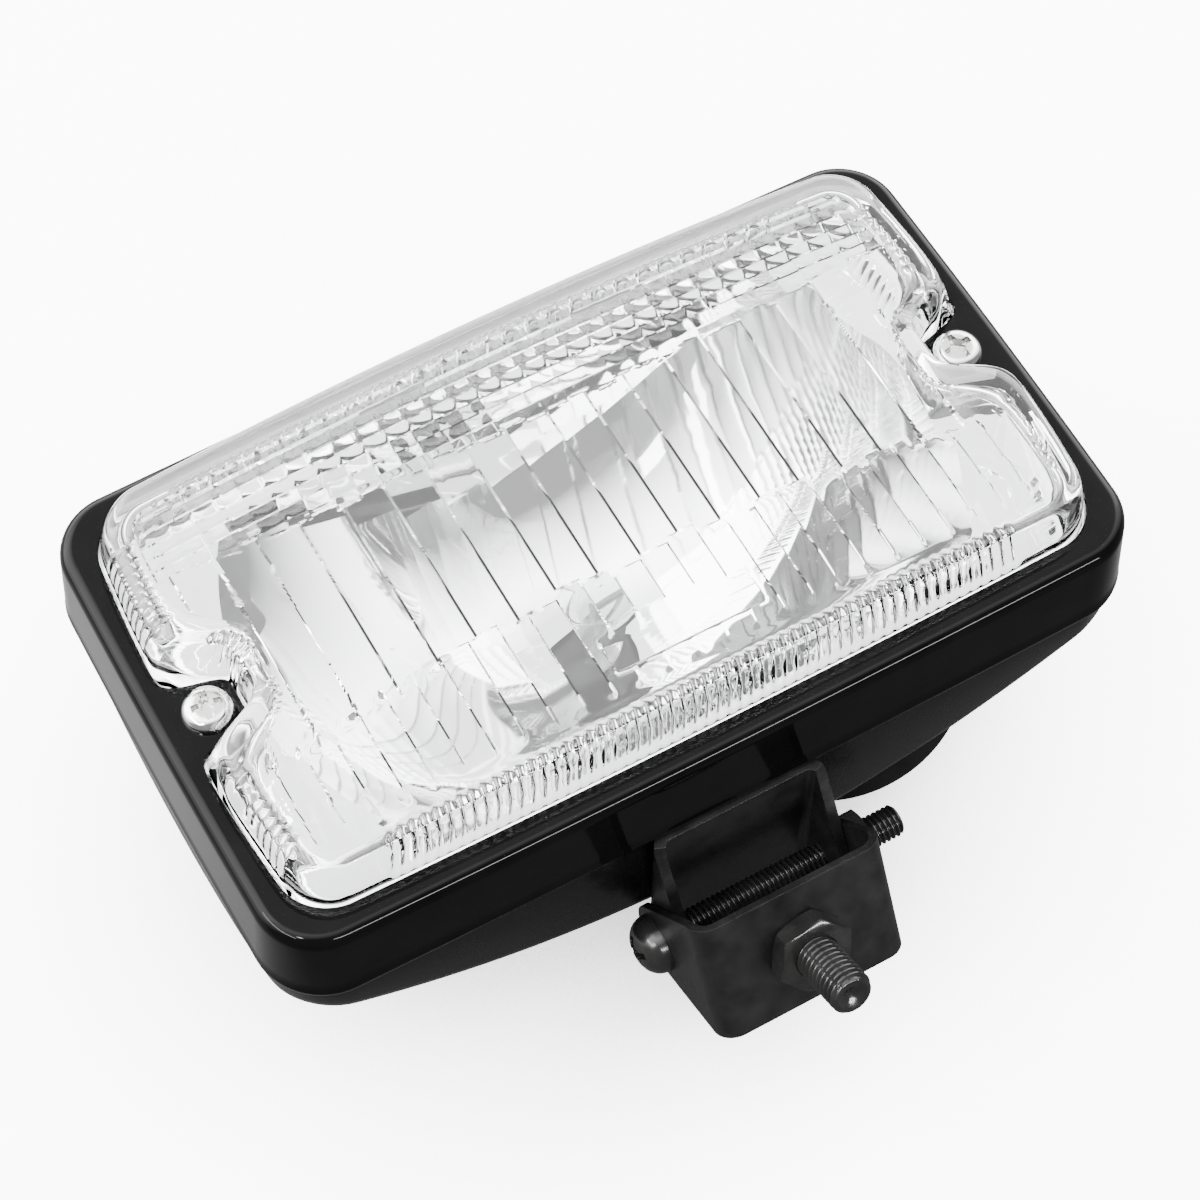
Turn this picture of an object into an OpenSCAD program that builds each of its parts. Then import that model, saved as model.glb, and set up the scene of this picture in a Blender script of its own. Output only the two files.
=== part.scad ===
// Rectangular vehicle fog light on a swivelling foot bracket.
// The origin is the centre of the foot bracket's seat face, on the stud axis.
// X runs along the lamp, Y runs from the lens to the back, Z runs up the stud axis.

/* [Lamp body] */
// Width of the front frame at its lip, mm
frame_w = 169.2; // [150:0.2:190]
// Height of the front frame at its lip, mm
frame_h = 98.8; // [80:0.2:120]
// Depth of the front frame from its face to its lip, mm
frame_depth = 18; // [12:0.5:26]
// Sheet thickness of the front frame, mm
frame_t = 0.9; // [0.6:0.1:2]
// Radius of the rolled front edge, mm
roll_r = 2.6; // [1:0.1:5]
// Corner radius of the front frame, mm
corner_r = 11; // [6:0.5:20]
// Outward bow at the middle of each short side, mm
bow_x = 0.6; // [0:0.1:3]
// Outward bow at the middle of each long side, mm
bow_z = 0.8; // [0:0.1:3]
// Depth of the rear housing at its middle, mm
housing_depth = 62; // [50:1:80]
// Sheet thickness of the rear housing, mm
housing_t = 1.2; // [0.8:0.1:2.5]
// How much shallower the housing gets towards its long edges, mm
crown_z = 13.5; // [5:0.5:30]
// Radius that the housing's back is curved to from end to end, mm
crown_r = 140; // [90:5:300]

/* [Lens] */
// Width of the lens opening at its corners, mm
lens_w = 152.6; // [130:0.2:170]
// Height of the lens opening at its corners, mm
lens_h = 84.2; // [60:0.2:100]
// Corner radius of the lens opening, mm
lens_r = 8; // [4:0.5:16]
// Outward bow of the lens at its short sides, mm
lens_bow_x = 2.6; // [0:0.1:5]
// Outward bow of the lens at its long sides, mm
lens_bow_z = 0.9; // [0:0.1:5]
// Glass thickness, mm
glass_t = 3; // [2:0.1:5]
// Height that the lens stands proud at its ends, mm
lens_rise = 8.6; // [4:0.1:15]
// Extra height of the lens at its middle, mm
lens_crown = 3.2; // [0:0.1:8]
// Depth of the notch round each screw, mm
notch_depth = 11.2; // [6:0.1:16]
// Half width of the notch at the frame, mm
notch_half = 6; // [4:0.5:9]

/* [Reflector and bulb] */
// Focal length of the reflector, mm
focal = 23; // [18:0.5:35]
// Distance from the frame's face to the reflector's vertex, mm
vertex_y = 50; // [40:1:55]
// Half height between the flat walls of the reflector, mm
flat_z = 36; // [28:0.5:40]
// Radius of the bulb capsule, mm
bulb_r = 5.6; // [4:0.1:7]

/* [Screws and nuts] */
// Distance between the two front screws, mm
screw_span = 147; // [130:0.5:160]
// Head radius of a front screw, mm
screw_head_r = 4.7; // [3.5:0.1:6]
// Length of the pivot bolt under its head, mm
pivot_len = 49; // [40:1:60]
// Thread radius of the pivot bolt, mm
pivot_r = 3; // [2.5:0.5:4]
// Thread radius of the mounting stud, mm
stud_r = 4; // [3:0.5:5]
// Length of the mounting stud below the seat face, mm
stud_len = 16.4; // [12:0.1:40]

/* [Brackets] */
// Outer width of the foot bracket, mm
foot_w = 37.1; // [30:0.1:50]
// Depth of the foot bracket's web, mm
foot_d = 25; // [20:0.5:40]
// Sheet thickness of the foot bracket, mm
foot_t = 1.5; // [1:0.1:3]
// Outer bend radius of the foot bracket, mm
foot_bend = 4; // [2:0.5:6]
// Height of the pivot axis over the seat face, mm
pivot_z = 21.6; // [16:0.1:30]
// Distance of the pivot axis behind the stud axis, mm
pivot_y = 4; // [0:0.1:8]
// Outer width of the arm bracket, mm
arm_w = 33.8; // [26:0.1:46]
// Sheet thickness of the arm bracket, mm
arm_t = 2; // [1:0.1:3]
// Angle that the lens is aimed down by, degrees
tilt = 27.3; // [-15:0.1:35]

/* [Hidden] */
$fn = 48;
// Pivot axis in the lamp's own frame, whose origin is the centre of the frame's face
pivot_lamp_y = 43.8;
pivot_lamp_z = -56.2;
arm_end_r = 8.6;
foot_end_r = 7;
running = 0.08;
// Outline half sizes of the frame at the end of its rolled edge
draft = 1.15;
frame_a = frame_w / 2 - bow_x - draft;
frame_b = frame_h / 2 - bow_z - draft;
lens_a = lens_w / 2;
lens_b = lens_h / 2;
lens_y = 1.2;
flange_t = 2;
gasket_t = 1.2;
rim_y = lens_y + flange_t + gasket_t;
rim_t = 1.2;
shell_y = rim_y + rim_t;
// Steps along one short side, one long side and one corner of every outline
side_steps = 20;
long_steps = 8;
corner_steps = 5;
// Rear cap on the housing
cap_x = 39;
cap_z = -22;
cap_r = 25.1;
cap_lean = 14.5;
cap_turn = 15.6;
bulb_base_y = vertex_y + 1.6;
bulb_tip_y = vertex_y - 27;
filament_y = bulb_tip_y + 6.5;
clip_x = 7.2;
clip_screw_z = -14.2;
lead_x = 10.8;
// Neck of the stud, between its head and its free thread
neck_r = stud_r - 0.45;
neck_z = 4.5;

// Outlines

function clustered(u, reach) = reach * sign(u) * pow(abs(u), 1.6);

function side_pts(a, b, r, dir) = [
    for (i = [0 : side_steps - 1])
        [dir * a, clustered(dir * (2 * i / side_steps - 1), b - r)]
];

function long_pts(a, b, r, dir) = [
    for (i = [0 : long_steps - 1])
        [dir * (a - r) * (1 - 2 * i / long_steps), dir * b]
];

function corner_pts(a, b, r, quarter) = [
    for (i = [0 : corner_steps - 1])
        let (ang = 90 * quarter + 90 * i / corner_steps)
        let (sx = (quarter == 0 || quarter == 3) ? 1 : -1)
        let (sz = (quarter == 0 || quarter == 1) ? 1 : -1)
        [sx * (a - r) + r * cos(ang), sz * (b - r) + r * sin(ang)]
];

// Rounded rectangle, counter clockwise from the foot of its right side
function rounded_pts(a, b, r) = concat(
    side_pts(a, b, r, 1),
    corner_pts(a, b, r, 0),
    long_pts(a, b, r, 1),
    corner_pts(a, b, r, 1),
    side_pts(a, b, r, -1),
    corner_pts(a, b, r, 2),
    long_pts(a, b, r, -1),
    corner_pts(a, b, r, 3)
);

// The same outline with bowed sides and a notch in each short side
function shaped_pts(a, b, r, kx, kz, depth, half, power) = [
    for (p = rounded_pts(a, b, r))
        let (notch = depth / (1 + pow(abs(p[1]) / half, power)))
        let (out = kx * (1 - pow(p[1] / b, 2)) - notch)
        [p[0] * (1 + out / a), p[1] * (1 + kz * (1 - pow(p[0] / a, 2)) / b)]
];

function frame_pts(grow) =
    shaped_pts(frame_a + grow, frame_b + grow, corner_r + grow, bow_x, bow_z, 0, 6, 7);

// Lens outline: grow widens it, rise runs from 0 at the frame to 1 at the front edge
function lens_pts(grow, rise) = shaped_pts(
    lens_a + grow - 1.3 * rise, lens_b + grow - 1.3 * rise, lens_r + grow, lens_bow_x, lens_bow_z,
    notch_depth, notch_half + 1.3 * rise - grow, 8.6 - 3.4 * rise
);

function flat_ring(pts, y) = [for (p = pts) [p[0], y, p[1]]];

function scaled(pts, s) = [for (p = pts) [p[0] * s, p[1] * s]];

function lens_front(x) = lens_rise + lens_crown * (1 - pow(x / lens_a, 2));

function crown_ring(pts, back) = [for (p = pts) [p[0], back - lens_front(p[0]), p[1]]];

function housing_back(x, z) = housing_depth - crown_z * pow(z / 48, 2) - x * x / (2 * crown_r);

function back_ring(pts, inset) = [
    for (p = pts) [p[0], housing_back(p[0], p[1]) - inset, p[1]]
];

// Solids from rings

module closed_tube(rings) {
    n = len(rings[0]);
    m = len(rings);
    points = [for (ring = rings) for (p = ring) p];
    faces = [
        for (j = [0 : m - 1])
            for (i = [0 : n - 1])
                let (k = (j + 1) % m)
                let (q = (i + 1) % n)
                each [
                    [j * n + i, j * n + q, k * n + i],
                    [j * n + q, k * n + q, k * n + i]
                ]
    ];
    polyhedron(points = points, faces = faces, convexity = 8);
}

module capped_tube(rings) {
    n = len(rings[0]);
    m = len(rings);
    points = [for (ring = rings) for (p = ring) p];
    walls = [
        for (j = [0 : m - 2])
            for (i = [0 : n - 1])
                let (q = (i + 1) % n)
                each [
                    [j * n + i, j * n + q, (j + 1) * n + i],
                    [j * n + q, (j + 1) * n + q, (j + 1) * n + i]
                ]
    ];
    first = [for (i = [0 : n - 1]) n - 1 - i];
    last = [for (i = [0 : n - 1]) (m - 1) * n + i];
    polyhedron(points = points, faces = concat(walls, [first, last]), convexity = 8);
}

// Frames

module in_lamp() {
    translate([0, pivot_y, pivot_z])
        rotate([tilt, 0, 0])
            translate([0, -pivot_lamp_y, -pivot_lamp_z])
                children();
}

module along_y(y) {
    translate([0, y, 0]) rotate([-90, 0, 0]) children();
}

module at_screws() {
    for (side = [-1, 1])
        translate([side * screw_span / 2, 0, 0]) children();
}

module on_cap_axis() {
    translate([cap_x, housing_back(cap_x, cap_z), cap_z])
        rotate([-90 - cap_lean, 0, -cap_turn])
            children();
}

// Front frame and glass

module bezel() {
    color("black") in_lamp() difference() {
        closed_tube([
            flat_ring(lens_pts(0, 0), 0),
            flat_ring(frame_pts(-roll_r), 0),
            flat_ring(frame_pts(-0.62 * roll_r), 0.08 * roll_r),
            flat_ring(frame_pts(-0.29 * roll_r), 0.29 * roll_r),
            flat_ring(frame_pts(-0.08 * roll_r), 0.62 * roll_r),
            flat_ring(frame_pts(0), roll_r),
            flat_ring(frame_pts(draft), frame_depth),
            flat_ring(frame_pts(draft - frame_t), frame_depth),
            flat_ring(frame_pts(-frame_t), roll_r),
            flat_ring(frame_pts(-roll_r), frame_t),
            flat_ring(lens_pts(0, 0), frame_t)
        ]);
        at_screws() along_y(-1) cylinder(r = 2.7, h = 4);
    }
}

module bezel_screws() {
    color("silver") in_lamp() at_screws() {
        difference() {
            along_y(0) rotate_extrude() intersection() {
                translate([0, 1.4]) circle(r = screw_head_r);
                translate([0, -3]) square([screw_head_r, 3]);
            }
            along_y(-3.5) translate([-0.5, -2.2, 0]) cube([1, 4.4, 1.9]);
            along_y(-3.5) translate([-2.2, -0.5, 0]) cube([4.4, 1, 1.9]);
        }
        along_y(0) cylinder(r = 2.5, h = 16);
    }
}

module screw_clips() {
    color("dimgray") in_lamp() at_screws() difference() {
        union() {
            translate([-5.5, shell_y + housing_t, -6]) cube([11, 1.2, 12]);
            along_y(shell_y + housing_t) cylinder(r = 4.2, h = 5.5);
        }
        along_y(shell_y) cylinder(r = 2.5, h = 12);
    }
}

module lens() {
    color("white", 0.4) in_lamp() capped_tube([
        flat_ring(scaled(lens_pts(-2.6, 1), 0.2), -lens_front(0)),
        crown_ring(scaled(lens_pts(-2.6, 1), 0.5), 0),
        crown_ring(scaled(lens_pts(-2.6, 1), 0.8), 0),
        crown_ring(lens_pts(-2.6, 1), 0),
        crown_ring(lens_pts(-0.9, 0.95), 0.7),
        crown_ring(lens_pts(-0.3, 0.8), 2.6),
        flat_ring(lens_pts(-0.3, 0.3), -2.6),
        flat_ring(lens_pts(-0.3, 0), lens_y),
        flat_ring(lens_pts(2.6, 0), lens_y),
        flat_ring(lens_pts(2.6, 0), lens_y + flange_t),
        flat_ring(lens_pts(-0.3 - glass_t, 0), lens_y + flange_t),
        flat_ring(lens_pts(-0.3 - glass_t, 0.3), -1.5),
        crown_ring(lens_pts(-0.4 - glass_t, 0.8), glass_t + 1.6),
        crown_ring(lens_pts(-2 - glass_t, 1), glass_t),
        crown_ring(scaled(lens_pts(-2 - glass_t, 1), 0.8), glass_t),
        crown_ring(scaled(lens_pts(-2 - glass_t, 1), 0.5), glass_t),
        flat_ring(scaled(lens_pts(-2 - glass_t, 1), 0.2), glass_t - lens_front(0))
    ]);
}

module lens_gasket() {
    y = lens_y + flange_t;
    color("darkslategray") in_lamp() closed_tube([
        flat_ring(lens_pts(-0.5, 0), y),
        flat_ring(lens_pts(2.3, 0), y),
        flat_ring(lens_pts(2.3, 0), y + gasket_t),
        flat_ring(lens_pts(-0.5, 0), y + gasket_t)
    ]);
}

// Reflector

function dish_r(y, vertex) = sqrt(4 * focal * max(vertex - y, 0));

module dish(vertex, flat, front) {
    steps = 16;
    side = [
        for (i = [0 : steps])
            let (u = 1 - pow(1 - i / steps, 2))
            let (y = front + (vertex - front) * u)
            [dish_r(y, vertex), y]
    ];
    intersection() {
        rotate([-90, 0, 0])
            rotate_extrude($fn = 96)
                polygon(concat([[0, front]], side));
        translate([-90, front - 1, -flat]) cube([180, 80, 2 * flat]);
    }
}

module reflector() {
    color("gainsboro") in_lamp() difference() {
        union() {
            translate([0, rim_y + rim_t, 0])
                rotate([90, 0, 0])
                    linear_extrude(height = rim_t) polygon(frame_pts(-3.6));
            dish(vertex_y + 1.6, flat_z + 1.2, rim_y);
            along_y(vertex_y - 6) cylinder(r = 12, h = 7.6);
            along_y(vertex_y - 4) translate([0, -clip_screw_z, 0]) cylinder(r = 3.4, h = 6.4);
            along_y(vertex_y - 8) translate([-20, 10, 0]) cylinder(r = 3.2, h = 6);
            for (side = [-1, 1]) {
                translate([side * clip_x - 1.5, vertex_y - 4, 12]) cube([3, 9, 2]);
                translate([side * clip_x - 1.5, vertex_y + 4, 9]) cube([3, 1, 4]);
            }
        }
        dish(vertex_y, flat_z, rim_y - 0.5);
        along_y(vertex_y - 10) cylinder(r = 8.6, h = 20);
        along_y(vertex_y - 0.8) translate([0, -clip_screw_z, 0]) cylinder(r = 1.5, h = 4);
        at_screws() along_y(0) cylinder(r = 3, h = 12);
    }
}

// Rear housing

module rear_housing() {
    color("black") in_lamp() difference() {
        capped_tube([
            flat_ring(scaled(frame_pts(-4.5), 0.15), housing_depth),
            back_ring(scaled(frame_pts(-4.5), 0.4), 0),
            back_ring(scaled(frame_pts(-4.5), 0.7), 0),
            back_ring(frame_pts(-4.5), 0),
            back_ring(frame_pts(-2), 0.6),
            back_ring(frame_pts(-0.6), 2.2),
            back_ring(frame_pts(-0.1), 4.6),
            flat_ring(frame_pts(-0.1), frame_depth),
            flat_ring(frame_pts(-1.1), shell_y),
            flat_ring(rounded_pts(68, 39.4, 14), shell_y),
            flat_ring(rounded_pts(68, 39.4, 14), shell_y + housing_t),
            flat_ring(frame_pts(-1.1 - housing_t), shell_y + housing_t),
            flat_ring(frame_pts(-0.1 - housing_t), frame_depth),
            back_ring(frame_pts(-0.1 - housing_t), 4.6 + housing_t),
            back_ring(frame_pts(-2 - housing_t), 1 + housing_t),
            back_ring(frame_pts(-4.5 - housing_t), housing_t),
            back_ring(scaled(frame_pts(-4.5 - housing_t), 0.7), housing_t),
            back_ring(scaled(frame_pts(-4.5 - housing_t), 0.4), housing_t),
            flat_ring(scaled(frame_pts(-4.5 - housing_t), 0.15), housing_depth - housing_t)
        ]);
        at_screws() along_y(0) cylinder(r = 3.2, h = 12);
        on_cap_axis() translate([0, 0, -9]) cylinder(r = cap_r - 1, h = 20);
    }
}

module rear_cap() {
    color("dimgray") in_lamp() on_cap_axis() difference() {
        rotate_extrude() union() {
            translate([0, -7]) square([cap_r - 1.1, 8]);
            translate([0, -1]) square([cap_r - 1.1, 5.5]);
            translate([0, -1]) square([cap_r - 4, 8.5]);
            intersection() {
                translate([cap_r - 5.1, 3.5]) circle(r = 4);
                square([cap_r, 12]);
            }
        }
        translate([0, 0, -8]) cylinder(r = cap_r - 3.1, h = 13.5);
        translate([0, 0, 2]) cylinder(r = 4.1, h = 8);
    }
}

module cable_grommet() {
    color("darkslategray") in_lamp() on_cap_axis() difference() {
        union() {
            translate([0, 0, 3]) cylinder(r = 4.1, h = 8);
            translate([0, 0, 7.5]) cylinder(r1 = 6.8, r2 = 4.6, h = 4);
            translate([0, 0, 3.5]) cylinder(r = 6, h = 2);
        }
        translate([0, 0, 0]) cylinder(r = 2.2, h = 14);
    }
}

// Bulb and its parts

// Round ended rod from its tip to its foot, pointing to the front
module capsule(r, tip, foot) {
    along_y(tip) rotate_extrude() union() {
        translate([0, r]) square([r, foot - tip - r]);
        intersection() {
            translate([0, r]) circle(r = r);
            square([r, r]);
        }
    }
}

module bulb_glass() {
    color("white", 0.5) in_lamp() difference() {
        capsule(bulb_r, bulb_tip_y, bulb_base_y - 1);
        capsule(bulb_r - 0.9, bulb_tip_y + 0.9, bulb_base_y - 4);
    }
}

module bulb_filament() {
    color("orange") in_lamp() {
        translate([-3.4, filament_y, 0]) rotate([0, 90, 0]) cylinder(r = 0.7, h = 6.8);
        for (side = [-1, 1])
            translate([side * 3, filament_y, 0]) along_y(0) cylinder(r = 0.35, h = 18);
    }
}

module bulb_base() {
    color("silver") in_lamp() difference() {
        union() {
            along_y(bulb_base_y - 5) cylinder(r = 7.2, h = 5);
            along_y(bulb_base_y) cylinder(r = 10.4, h = 1);
        }
        along_y(bulb_base_y - 6) cylinder(r = bulb_r, h = 5);
        translate([-1.5, bulb_base_y - 1, 8.8]) cube([3, 3, 4]);
    }
}

module bulb_insulator() {
    color("ivory") in_lamp() along_y(bulb_base_y + 1) cylinder(r = 5, h = 4.8);
}

module bulb_clip() {
    y = bulb_base_y + 1.7;
    foot = clip_screw_z - 2.2;
    color("silver") in_lamp() {
        for (side = [-1, 1])
            translate([side * clip_x, y, foot]) cylinder(r = 0.6, h = 11.9 - foot);
        translate([-clip_x, y, foot]) rotate([0, 90, 0]) cylinder(r = 0.6, h = 2 * clip_x);
    }
}

module clip_screw() {
    color("silver") in_lamp() {
        along_y(vertex_y - 0.6) translate([0, -clip_screw_z, 0]) cylinder(r = 1.5, h = 5);
        along_y(vertex_y + 4) translate([0, -clip_screw_z, 0]) cylinder(r = 2.8, h = 1.6);
    }
}

module bulb_lead() {
    y = bulb_base_y + 3.8;
    color("navy") in_lamp() {
        translate([4.8, y, 0]) rotate([0, 90, 0]) cylinder(r = 1.1, h = lead_x - 4.8);
        translate([lead_x, y, 0]) sphere(r = 1.1);
        translate([lead_x, y, 0]) rotate([180, 0, 0]) cylinder(r = 1.1, h = 12.2);
    }
}

module lead_terminal() {
    color("ivory") in_lamp() translate([lead_x - 2.8, bulb_base_y - 0.4, -20]) cube([5.6, 5.4, 8]);
}

module earth_tab() {
    color("silver") in_lamp() {
        translate([-23.1, vertex_y - 2, -18]) cube([6.3, 0.8, 11]);
        along_y(vertex_y - 1.2) translate([-20, 10, 0]) cylinder(r = 1.8, h = 0.7);
    }
}

// Brackets

// Rounded U with its web on the X axis and its legs pointing to +Y
module channel(w, h, t, bend) {
    difference() {
        union() {
            translate([-w / 2 + bend, 0]) square([w - 2 * bend, h]);
            translate([-w / 2, bend]) square([w, h - bend]);
            for (side = [-1, 1])
                translate([side * (w / 2 - bend), bend]) circle(r = bend);
        }
        translate([-w / 2 + bend, t]) square([w - 2 * bend, h]);
        translate([-w / 2 + t, bend]) square([w - 2 * t, h]);
        for (side = [-1, 1])
            translate([side * (w / 2 - bend), bend]) circle(r = bend - t);
    }
}

module arm_bracket() {
    top = -frame_b - bow_z + 0.1;
    color("dimgray") in_lamp() difference() {
        intersection() {
            translate([0, 80, top])
                rotate([90, 0, 0])
                    mirror([0, 1, 0])
                        linear_extrude(height = 80) channel(arm_w, 20, arm_t, 3.5);
            translate([-arm_w, 0, 0]) rotate([90, 0, 90]) linear_extrude(height = 2 * arm_w) union() {
                polygon([
                    [frame_depth + 0.7, top + 1], [frame_depth + 0.7, top - 2.2],
                    [pivot_lamp_y - 4.7, pivot_lamp_z - 7.2], [pivot_lamp_y + 9, top - 2.2],
                    [pivot_lamp_y + 9, top + 1]
                ]);
                translate([pivot_lamp_y, pivot_lamp_z]) circle(r = arm_end_r);
            }
        }
        translate([-arm_w, pivot_lamp_y, pivot_lamp_z])
            rotate([0, 90, 0]) cylinder(r = pivot_r + running, h = 2 * arm_w);
    }
}

module base_bracket() {
    color("dimgray") difference() {
        intersection() {
            translate([0, 20, 0])
                rotate([90, 0, 0])
                    linear_extrude(height = 40) channel(foot_w, 40, foot_t, foot_bend);
            translate([-foot_w, 0, 0]) rotate([90, 0, 90]) linear_extrude(height = 2 * foot_w) union() {
                polygon([
                    [-foot_d / 2, -1], [foot_d / 2, -1], [foot_d / 2, 4],
                    [pivot_y + 6.85, pivot_z + 1.4], [pivot_y - 6.4, pivot_z + 2.8],
                    [-foot_d / 2, 4]
                ]);
                translate([pivot_y, pivot_z]) circle(r = foot_end_r);
            }
        }
        translate([0, 0, -1]) cylinder(r = neck_r + running, h = 4);
        translate([-foot_w, pivot_y, pivot_z])
            rotate([0, 90, 0]) cylinder(r = pivot_r + running, h = 2 * foot_w);
    }
}

// Fasteners of the foot

module pivot_bolt() {
    head_r = 5.5;
    head_h = 4.6;
    dome = (head_r * head_r + head_h * head_h) / (2 * head_h);
    color("dimgray") translate([-foot_w / 2, pivot_y, pivot_z]) rotate([0, 90, 0]) {
        cylinder(r = pivot_r, h = pivot_len - 0.8);
        translate([0, 0, pivot_len - 0.8]) cylinder(r1 = pivot_r, r2 = pivot_r - 0.7, h = 0.8);
        difference() {
            rotate_extrude() intersection() {
                translate([0, dome - head_h]) circle(r = dome, $fn = 96);
                translate([0, -head_h]) square([head_r, head_h]);
            }
            translate([-0.6, -2.6, -head_h - 1]) cube([1.2, 5.2, 3.2]);
            translate([-2.6, -0.6, -head_h - 1]) cube([5.2, 1.2, 3.2]);
        }
    }
}

module hex_nut(across, h, bore) {
    corner = across / 2 / cos(30);
    difference() {
        intersection() {
            cylinder(r = corner, h = h, $fn = 6);
            rotate_extrude($fn = 48) polygon([
                [0, 0], [across / 2, 0], [corner, (corner - across / 2) * 0.58],
                [corner, h - (corner - across / 2) * 0.58], [across / 2, h], [0, h]
            ]);
        }
        translate([0, 0, -1]) cylinder(r = bore, h = h + 2);
    }
}

module pivot_nut() {
    color("dimgray") translate([foot_w / 2, pivot_y, pivot_z])
        rotate([0, 90, 0]) rotate([0, 0, 12]) hex_nut(10, 5, pivot_r);
}

module mounting_stud() {
    color("dimgray") {
        translate([0, 0, -stud_len + 0.9]) cylinder(r = stud_r, h = stud_len - 0.9 - neck_z);
        translate([0, 0, -neck_z]) cylinder(r = neck_r, h = neck_z + foot_t + 0.05);
        difference() {
            translate([0, 0, -stud_len]) cylinder(r1 = stud_r - 0.9, r2 = stud_r, h = 0.9);
            translate([0, 0, -stud_len - 0.01]) cylinder(r1 = 2.6, r2 = 1.6, h = 0.7);
        }
        translate([0, 0, foot_t + 0.05]) cylinder(r = 7.5, h = 5.3, $fn = 6);
    }
}

module mounting_nut() {
    color("dimgray") translate([0, 0, -4.35]) rotate([0, 0, 18]) hex_nut(13, 4.3, neck_r);
}

bezel();
bezel_screws();
screw_clips();
lens();
lens_gasket();
reflector();
rear_housing();
rear_cap();
cable_grommet();
bulb_glass();
bulb_filament();
bulb_base();
bulb_insulator();
bulb_clip();
clip_screw();
bulb_lead();
lead_terminal();
earth_tab();
arm_bracket();
base_bracket();
pivot_bolt();
pivot_nut();
mounting_stud();
mounting_nut();
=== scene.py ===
"""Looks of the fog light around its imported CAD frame: pressed glass, painted steel, chrome and threads."""

import math

import bmesh
import bpy
import numpy as np
from mathutils import Matrix, Vector


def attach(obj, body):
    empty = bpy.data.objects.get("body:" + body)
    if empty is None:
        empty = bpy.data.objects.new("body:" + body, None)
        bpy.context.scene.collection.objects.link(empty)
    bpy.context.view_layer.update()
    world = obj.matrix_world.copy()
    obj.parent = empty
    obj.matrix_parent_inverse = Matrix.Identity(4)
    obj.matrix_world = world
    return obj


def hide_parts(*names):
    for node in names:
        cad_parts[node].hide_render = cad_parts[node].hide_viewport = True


MM = 0.001
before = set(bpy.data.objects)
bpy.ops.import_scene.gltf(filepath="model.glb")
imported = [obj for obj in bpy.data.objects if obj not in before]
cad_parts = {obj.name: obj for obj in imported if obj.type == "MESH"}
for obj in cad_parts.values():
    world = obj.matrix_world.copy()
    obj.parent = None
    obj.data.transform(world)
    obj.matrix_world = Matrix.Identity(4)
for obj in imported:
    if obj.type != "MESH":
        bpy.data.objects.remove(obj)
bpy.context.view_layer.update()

# The lamp's own frame: X along it, Y to its back, Z to its top, origin at the centre of its front face.
TILT = math.radians(27.3)
BOLT_Y, BOLT_Z = 4.0, 21.6
LAMP_BOLT_Y, LAMP_BOLT_Z = 43.8, -56.2
PIVOT = Vector((0, BOLT_Y, BOLT_Z)) * MM
PIVOT_IN_LAMP = Vector((0, LAMP_BOLT_Y, LAMP_BOLT_Z)) * MM
LAMP = Matrix.Translation(PIVOT) @ Matrix.Rotation(TILT, 4, "X") @ Matrix.Translation(-PIVOT_IN_LAMP)
HERE = Matrix.Identity(4)


# Materials. Noise scales are per metre.

# A colour Mix node's sockets go by number, because their names repeat.
MIX_FACTOR, MIX_FIRST, MIX_SECOND, MIX_COLOUR = 0, 6, 7, 2
GRAIN_HEIGHT = 0.06
WAVE_SCALE, WAVE_HEIGHT, WAVE_RELIEF = 90, 0.15, 0.12
CLEAR = (0.985, 0.99, 0.99)


def socket(node, name, value):
    node.inputs[name].default_value = value


def new_material(name):
    mat = bpy.data.materials.new(name)
    mat.use_nodes = True
    tree = mat.node_tree
    return mat, tree, tree.nodes["Principled BSDF"]


def noise(tree, scale, detail):
    coords = tree.nodes.new("ShaderNodeTexCoord")
    node = tree.nodes.new("ShaderNodeTexNoise")
    socket(node, "Scale", scale)
    socket(node, "Detail", detail)
    tree.links.new(coords.outputs["Object"], node.inputs["Vector"])
    return node.outputs["Fac"]


def ramp(tree, source, low, high, start=0.3, end=0.7):
    """Low to high while the source goes from start to end, and held beyond them."""
    node = tree.nodes.new("ShaderNodeMapRange")
    socket(node, "From Min", start)
    socket(node, "From Max", end)
    socket(node, "To Min", low)
    socket(node, "To Max", high)
    tree.links.new(source, node.inputs["Value"])
    return node.outputs["Result"]


def colour_mix(tree, factor, first, second):
    node = tree.nodes.new("ShaderNodeMix")
    node.data_type = "RGBA"
    socket(node, MIX_FIRST, (*first, 1))
    socket(node, MIX_SECOND, (*second, 1))
    tree.links.new(factor, node.inputs[MIX_FACTOR])
    return node.outputs[MIX_COLOUR]


def bump(tree, shader, height, strength, distance):
    node = tree.nodes.new("ShaderNodeBump")
    socket(node, "Strength", strength)
    socket(node, "Distance", distance * MM)
    tree.links.new(height, node.inputs["Height"])
    tree.links.new(node.outputs["Normal"], shader.inputs["Normal"])


def surface(name, dark, light, rough, grain, relief, metallic, shine):
    """Paint, plastic or metal: fine grain in its relief, broad wear in its colour and roughness."""
    mat, tree, shader = new_material(name)
    fine = noise(tree, grain, 4.0)
    wear = noise(tree, grain / 9, 3.0)
    tree.links.new(colour_mix(tree, ramp(tree, wear, 0, 1), dark, light), shader.inputs["Base Color"])
    tree.links.new(ramp(tree, wear, *rough), shader.inputs["Roughness"])
    bump(tree, shader, fine, relief, GRAIN_HEIGHT)
    socket(shader, "Metallic", metallic)
    socket(shader, "Specular IOR Level", shine)
    return mat


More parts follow.
